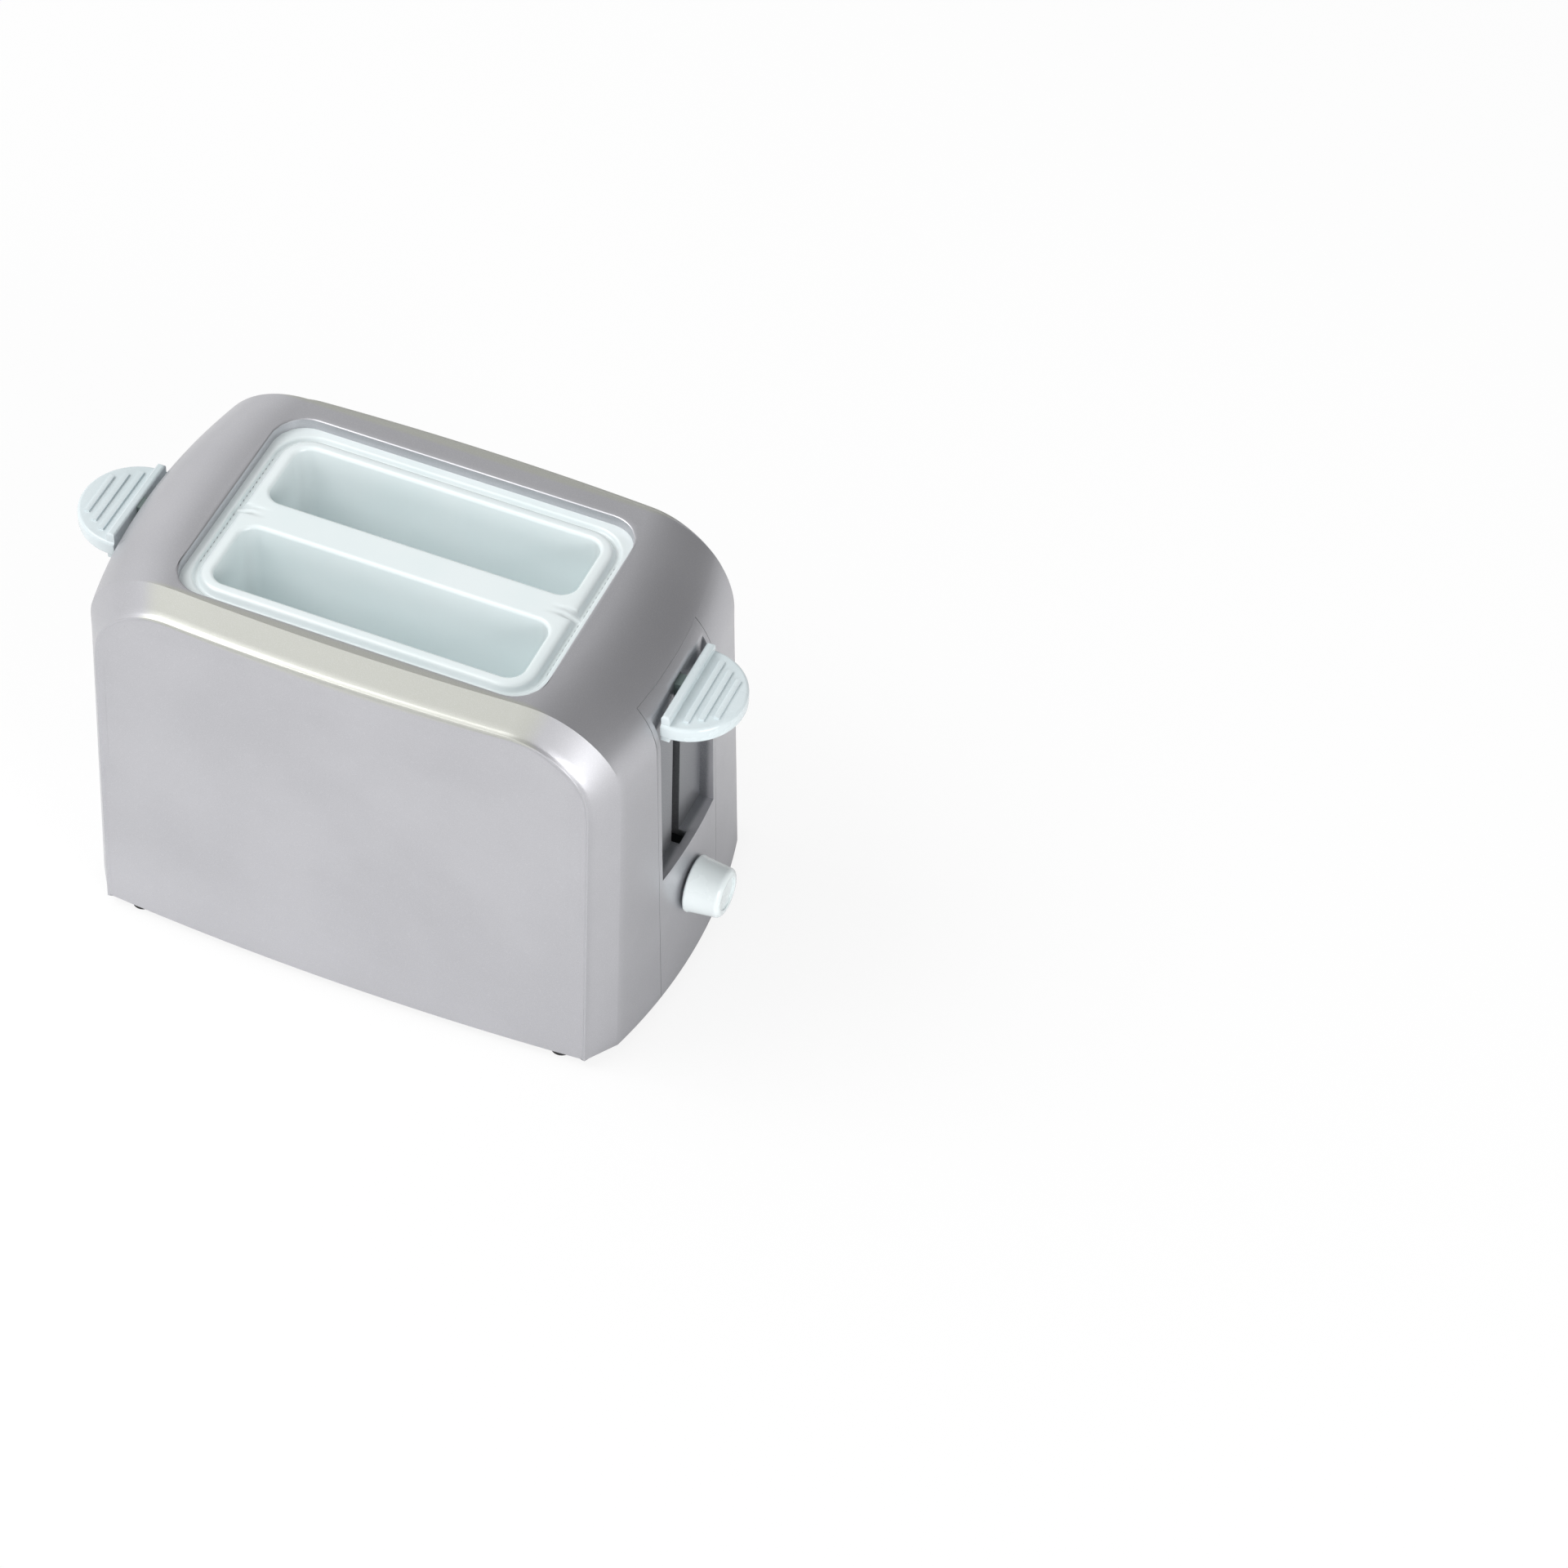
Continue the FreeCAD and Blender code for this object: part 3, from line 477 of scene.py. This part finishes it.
def outer_line(extra=0.0):
    """The chamfer's line on the face, or one further in by a distance."""
    spot = EDGE + INWARD * (ON_FACE + extra)[:, None]
    return np.stack([spot[:, 0], face_y(spot[:, 0], spot[:, 1]), spot[:, 1]], axis=1)


def mirror_half(rows):
    """Carries rows from the right end over the top middle to the left end."""
    other = rows[:, ::-1] * np.array([-1, 1, 1])
    return np.concatenate([rows, other[:, 1:]], axis=1)


def face_patch():
    """Chamfer, bead, soft strip and flat face, as rows running parallel to the rim.

    Across the rim the rows step from the chamfer's inner line to its outer line, over a
    raised bead, then inwards over the face; there the surface dips a little in one soft
    strip and then runs straight down to the bottom line.
    """
    inner, outer = inner_line(), outer_line()
    away = np.array([0.0, 0.74, 0.67])
    rows = []
    for share in (0.0, 0.06, 0.14, 0.3, 0.5, 0.7, 0.86):
        rows.append(inner + (outer - inner) * share)
    for share, lift in ((0.93, 0.35), (0.97, 0.8), (1.0, 1.0)):
        rows.append(inner + (outer - inner) * share + away * BEAD * lift)
    for extra, lift in ((0.35, 0.75), (0.7, 0.3), (1.1, 0.0)):
        rows.append(outer_line(extra) + np.array([0, 1, 0.2]) * BEAD * lift)
    fade = smooth(20, 60, EDGE[:, 1]) * STRIP_DEPTH
    for extra, dip in ((1.6, 0.6), (2.4, 1.0), (3.6, 1.0), (4.6, 1.0), (5.4, 0.5), (6.2, 0.0),
                       (STRIP_END, 0.0)):
        line = outer_line(extra)
        line[:, 1] -= dip * fade
        rows.append(line)
    last = rows[-1]
    share = np.linspace(0, 1, len(last))
    ends = outer_line(STRIP_END)[0, 0]
    base_x = ends * (1 - share)
    for step in np.linspace(0, 1, 14)[1:]:
        x = last[:, 0] + (base_x - last[:, 0]) * step
        z = last[:, 2] + (FOOT - last[:, 2]) * step
        rows.append(np.stack([x, face_y(x, z), z], axis=1))
    rows = np.array(rows)
    rows[:, 0, 2] = FOOT
    return mirror_half(rows)


def end_patch():
    """End and shoulder on the right, with the panel's window left open below its top."""
    front = np.linspace(0, 1, SIDE_STEPS + 1)
    gap = PANEL_HALF
    grid = []
    for row in range(WRAP):
        reach = INNER_Y[row]
        y = np.concatenate([-reach + (WORKS_Y - gap + reach) * front,
                            np.linspace(WORKS_Y - gap, WORKS_Y + gap, WINDOW_STEPS + 1)[1:],
                            (WORKS_Y + gap) + (reach - WORKS_Y - gap) * front[1:]])
        x = end_x(ROWS[row, 0], y)
        grid.append(np.stack([x, y, np.full_like(y, ROWS[row, 1])], axis=1))
    grid = np.array(grid)
    keep = np.ones((WRAP - 1, grid.shape[1] - 1), bool)
    window_row = int(np.argmin(abs(ROWS[:, 1] - PANEL_TOP)))
    keep[:window_row, SIDE_STEPS:SIDE_STEPS + WINDOW_STEPS] = False
    return grid, keep


def top_outline(grid):
    """The boundary of the flat top, counter-clockwise from the middle of the right end."""
    right = grid[-1]
    inner = inner_line()[WRAP - 1:]
    front = np.concatenate([inner, (inner * [-1, 1, 1])[::-1][1:]]) * [1, -1, 1]
    back = front * [1, -1, 1]
    left = right * [-1, 1, 1]
    loop = np.concatenate([right, back[1:], left[::-1][1:], front[::-1][1:-1]])
    return loop


def top_patch(grid):
    """Flat top between its boundary and the opening, then the opening's rounded lip."""
    outer = top_outline(grid)
    right, long_side = grid.shape[1] - 1, 2 * (len(EDGE) - WRAP)
    hx, hy, r = OPENING[0], OPENING[1], OPENING_RADIUS

    def opening(inset, z):
        half = (hx - inset, hy - inset)
        radius = r - inset
        loop = []
        sides = [(1, right), (2, long_side), (3, right), (4, long_side)]
        for side, count in sides:
            t = np.linspace(-1, 1, count + 1)[:-1]
            flat_share = 0.82
            inside = np.clip(t / flat_share, -1, 1)
            bend = np.sign(t) * np.clip((abs(t) - flat_share) / (1 - flat_share), 0, 1)
            turn = bend * np.pi / 4
            length = (half[1] if side % 2 else half[0]) - radius
            across = inside * length + radius * np.sin(turn)
            out = (half[0] if side % 2 else half[1]) - radius + radius * np.cos(turn)
            x, y = {1: (out, across), 2: (-across, out), 3: (-out, -across),
                    4: (across, -out)}[side]
            loop.append(np.stack([x + 0 * y, y + WORKS_Y + 0 * x, np.full_like(t, z)], 1))
        return np.concatenate(loop)

    lip = [opening(-0.4, HEIGHT), opening(-0.24, HEIGHT - 0.05), opening(-0.08, HEIGHT - 0.18),
           opening(0.0, HEIGHT - 0.42), opening(0.0, HEIGHT - WALL - 1.0)]
    rows = [outer + (lip[0] - outer) * t for t in np.linspace(0, 1, 6)]
    return np.array(rows + lip[1:])


def shell():
    face = face_patch()
    grid, keep = end_patch()
    patches = [grid_piece(face * [1, -1, 1]), grid_piece(face[:, ::-1]),
               grid_piece(grid, keep),
               grid_piece(grid[:, ::-1] * [-1, 1, 1], keep[:, ::-1]),
               grid_piece(top_patch(grid), closed=True)]
    piece = build("toaster_shell", patches, "housing", SILVER, ("housing_shell",), 0.02)
    face_outwards(piece.data)
    piece.data.set_sharp_from_angle(angle=np.radians(28))
    sharp_border(piece.data)
    wall = piece.modifiers.new("wall", "SOLIDIFY")
    wall.thickness = 2.0 * MM
    wall.offset = -1
    return piece


# Insert

RIM_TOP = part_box("slot_insert")[1].z / MM
SLOT_HALF = (43.2, 10.65)
SLOT_OFFSET = 15.825
SLOT_RADIUS = 4.5
SLOT_EDGE = 1.1
WELL_BOTTOM = 14.0
ISLAND = (47.0, 30.0, 8.3)
HALF_STEP = SLOT_OFFSET - SLOT_HALF[1]


def rim_height(x, y):
    """Height of the insert's top: a flat island, a groove round it, then a ledge.

    It depends only on the distance outside the island's rounded outline.
    """
    half_x, half_y, radius = ISLAND
    dx = abs(x) - half_x + radius
    dy = abs(y - WORKS_Y) - half_y + radius
    outside = np.hypot(np.maximum(dx, 0), np.maximum(dy, 0)) - radius
    inside = np.minimum(np.maximum(dx, dy), 0)
    away = outside + inside
    fall = 0.10 * smooth(-2.6, -1.2, away) + 0.35 * smooth(-1.4, -0.4, away)
    fall += 1.65 * smooth(-0.6, 0.55, away)
    return RIM_TOP - fall + 1.05 * smooth(1.1, 2.1, away)


def insert_half(sign):
    """One bread slot: rounded rectangles from the divider's middle into the well.

    Round the slot's edge the height follows a quarter turn, and further out it is the height
    of the insert's top.
    """
    middle = WORKS_Y + sign * SLOT_OFFSET
    rows = []
    for grow in (HALF_STEP, 4.9, 4.6, 4.3, 4.05, 3.8, 3.55, 3.3, 3.0, 2.6, 2.2, 1.8, 1.4,
                 SLOT_EDGE):
        radius = SLOT_RADIUS + grow
        near = radius * (1 - smooth(1.2, 3.6, grow)) + 0.01
        radii = (radius, near, near, radius) if sign < 0 else (near, radius, radius, near)
        line = rounded_outline(SLOT_HALF[0] + grow, middle - SLOT_HALF[1] - grow,
                               middle + SLOT_HALF[1] + grow, radii)
        rows.append(np.column_stack([line, rim_height(line[:, 0], line[:, 1])]))
    top = rows[-1][:, 2].max()
    turn = np.linspace(0, np.pi / 2, 6)[1:]
    edge = [(SLOT_EDGE * (1 - np.sin(t)), top - SLOT_EDGE * (1 - np.cos(t))) for t in turn]
    edge += [(0.0, z) for z in (RIM_TOP - 8, 95.0, 75.0, 55.0, 35.0, WELL_BOTTOM)]
    for grow, z in edge:
        line = rounded_outline(SLOT_HALF[0] + grow, middle - SLOT_HALF[1] - grow,
                               middle + SLOT_HALF[1] + grow, [SLOT_RADIUS + grow] * 4)
        rows.append(at_height(line, z))
    return grid_piece(np.array(rows), closed=True)


def insert_border():
    """Groove side and ledge round the island, out to the wall of the opening."""
    rows = []
    for grow in (0.0, 0.25, 0.5, 0.75, 1.1, 1.6, 2.1, 2.5, 2.75):
        half_x = SLOT_HALF[0] + HALF_STEP + grow
        half_y = SLOT_OFFSET + SLOT_HALF[1] + HALF_STEP + grow
        radius = SLOT_RADIUS + HALF_STEP - 0.25 * grow
        line = rounded_outline(half_x, WORKS_Y - half_y, WORKS_Y + half_y, [radius] * 4)
        rows.append(np.column_stack([line, rim_height(line[:, 0], line[:, 1])]))
    return grid_piece(np.array(rows), closed=True)


# Knob, panels, tabs and the rest

def knob():
    """Turned knob: flared skirt, slightly tapered side, rounded rim and sunk face."""
    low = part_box("timer_knob")[0]
    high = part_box("timer_knob")[1]
    length = (high.x - low.x) / MM
    radius = (high.z - low.z) / 2 / MM
    centre = (low.x / MM, WORKS_Y, (high.z + low.z) / 2 / MM)
    turn = np.linspace(0, np.pi / 2, 7)
    outline = [(2.6, 0.0), (radius - 0.9, 0.0), (radius - 0.35, 0.12), (radius, 0.5),
               (radius, 1.1), (radius - 0.3, 1.7)]
    outline += [(radius - 1.0 - 1.6 + 1.6 * c, length - 1.6 + 1.6 * s)
                for c, s in zip(np.cos(turn), np.sin(turn))]
    outline += [(4.75, length), (4.6, length - 0.1), (4.55, length - 0.5), (2.6, length - 0.5),
                (0.01, length - 0.5)]
    return build("knob_turned", [lathe(outline, centre)], "timer", KNOB_LIT_TRIM,
                 ("timer_knob", "knob_cap"))


def dress_nodes():
    """Gives each solid that stays its own finish."""
    finish = {"base_plate": DARK, "knob_bushing": DARK, "latch_cam": DARK, "latch_catch": DARK,
              "knob_shaft": ROD, "knob_screw": SCREW, "base_screws": SCREW,
              "catch_screws": SCREW}
    for name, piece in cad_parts.items():
        if name.startswith("foot_"):
            made = FOOT_PAD
        elif name.startswith("guide_rod"):
            made = ROD
        elif name.startswith("lift_spring"):
            made = SPRING
        elif name.startswith("tab_screw"):
            made = SCREW
        elif "bushings" in name:
            made = DARK
        elif name.startswith(("bread_shelf", "carriage_yoke")):
            made = WORKS
        else:
            made = finish.get(name, SILVER)
        piece.data.materials.clear()
        piece.data.materials.append(made[0])


dress_nodes()
shell()
build("slot_insert_smooth", [insert_half(-1), insert_half(1), insert_border()], "housing", MINT,
      ("slot_insert",), 0.03, 50.0)
for side in ("right", "left"):
    softened(f"end_panel_{side}", f"panel_{side}", "housing", PANEL, 0.35)
    softened(f"push_tab_{side}", f"tab_{side}", "carriage", TRIM, 0.3)
knob()


# Stage, light and camera

FLOOR_WHITENING = 0.85
FLOOR_HALF = 3.0
LAMP_TARGET = (0, 0, 0.06)
LAMPS = (("key", (-0.8, -0.35, 1.3), 0.9, 10), ("fill", (1.3, -0.8, 0.55), 0.8, 12))
DIM_SIDE = (0.75, 0.5, 0.43)
DIM_SPREAD = (-0.35, 0.95)
WORLD_BRIGHT = 1.0
WORLD_DIM = 0.24


def flat_floor():
    """A wide pale floor that the camera sees as white away from the object's shadow."""
    half = FLOOR_HALF
    verts = [(-half, -half, 0), (half, -half, 0), (half, half, 0), (-half, half, 0)]
    mesh = bpy.data.meshes.new("floor")
    mesh.from_pydata(verts, [], [(0, 1, 2, 3)])
    floor = bpy.data.objects.new("floor", mesh)
    bpy.context.scene.collection.objects.link(floor)
    paint = Paint("floor_white", "floor", Roughness=0.9)
    cloud = paint.noise(6.0)
    paint.set("Base Color", paint.mix(cloud, srgb(250, 250, 250), srgb(246, 246, 246)))
    ray = paint.node("ShaderNodeLightPath", {}, {}, "Is Camera Ray")
    white = paint.node("ShaderNodeEmission", {}, {"Color": (1, 1, 1, 1), "Strength": 1.0})
    both = paint.node("ShaderNodeMixShader", {}, {0: ray * FLOOR_WHITENING})
    paint.tree.links.new(paint.shader.outputs[0], both.out.node.inputs[1])
    paint.tree.links.new(white.out, both.out.node.inputs[2])
    paint.tree.links.new(both.out, paint.tree.nodes["Material Output"].inputs[0])
    mesh.materials.append(paint.made)


def lamp(name, place, width, power):
    data = bpy.data.lights.new(name, "AREA")
    data.shape = "SQUARE"
    data.size = width
    data.energy = power
    light = bpy.data.objects.new(name, data)
    aim = Vector(LAMP_TARGET) - Vector(place)
    turn = aim.to_track_quat("-Z", "Y")
    light.matrix_world = Matrix.Translation(place) @ turn.to_matrix().to_4x4()
    bpy.context.scene.collection.objects.link(light)


def world_light():
    """Pale surroundings, dimmer overhead and to the rear right; plain white to the camera."""
    world = bpy.data.worlds.new("studio")
    world.use_nodes = True
    tree = world.node_tree
    back = tree.nodes["Background"]
    place = tree.nodes.new("ShaderNodeTexCoord")
    toward = tree.nodes.new("ShaderNodeVectorMath")
    toward.operation = "DOT_PRODUCT"
    toward.inputs[1].default_value = DIM_SIDE
    tree.links.new(place.outputs["Generated"], toward.inputs[0])
    share = tree.nodes.new("ShaderNodeMapRange")
    share.interpolation_type = "SMOOTHSTEP"
    for socket, value in (("From Min", DIM_SPREAD[0]), ("From Max", DIM_SPREAD[1]),
                          ("To Min", WORLD_BRIGHT), ("To Max", WORLD_DIM)):
        share.inputs[socket].default_value = value
    tree.links.new(toward.outputs["Value"], share.inputs["Value"])
    ray = tree.nodes.new("ShaderNodeLightPath")
    seen = tree.nodes.new("ShaderNodeMath")
    seen.operation = "MAXIMUM"
    tree.links.new(ray.outputs["Is Camera Ray"], seen.inputs[0])
    tree.links.new(share.outputs["Result"], seen.inputs[1])
    tree.links.new(seen.outputs["Value"], back.inputs["Strength"])
    back.inputs["Color"].default_value = (1, 1, 1, 1)
    bpy.context.scene.world = world


CAMERA_AZIMUTH = 21.3973
CAMERA_ELEVATION = 47.6012
CAMERA_ROLL = 2.2141
CAMERA_DISTANCE = 1.385884
CAMERA_TARGET = Vector((0.0985545, 0.0137807, 0.0615))
CAMERA_LENS = 122.98


def camera():
    az, el = np.radians(CAMERA_AZIMUTH), np.radians(CAMERA_ELEVATION)
    back = Vector((np.sin(az) * np.cos(el), -np.cos(az) * np.cos(el), np.sin(el)))
    right = Vector((np.cos(az), np.sin(az), 0))
    up = back.cross(right)
    roll = np.radians(CAMERA_ROLL)
    side = right * np.cos(roll) + up * np.sin(roll)
    top = up * np.cos(roll) - right * np.sin(roll)
    data = bpy.data.cameras.new("photo_camera")
    data.lens = CAMERA_LENS
    data.sensor_width = 36.0
    data.clip_end = 20.0
    made = bpy.data.objects.new("photo_camera", data)
    turn = Matrix((side, top, back)).transposed().to_4x4()
    made.matrix_world = Matrix.Translation(CAMERA_TARGET + back * CAMERA_DISTANCE) @ turn
    bpy.context.scene.collection.objects.link(made)
    bpy.context.scene.camera = made


flat_floor()
for settings in LAMPS:
    lamp(*settings)
world_light()
camera()
bpy.context.scene.view_settings.view_transform = "Standard"
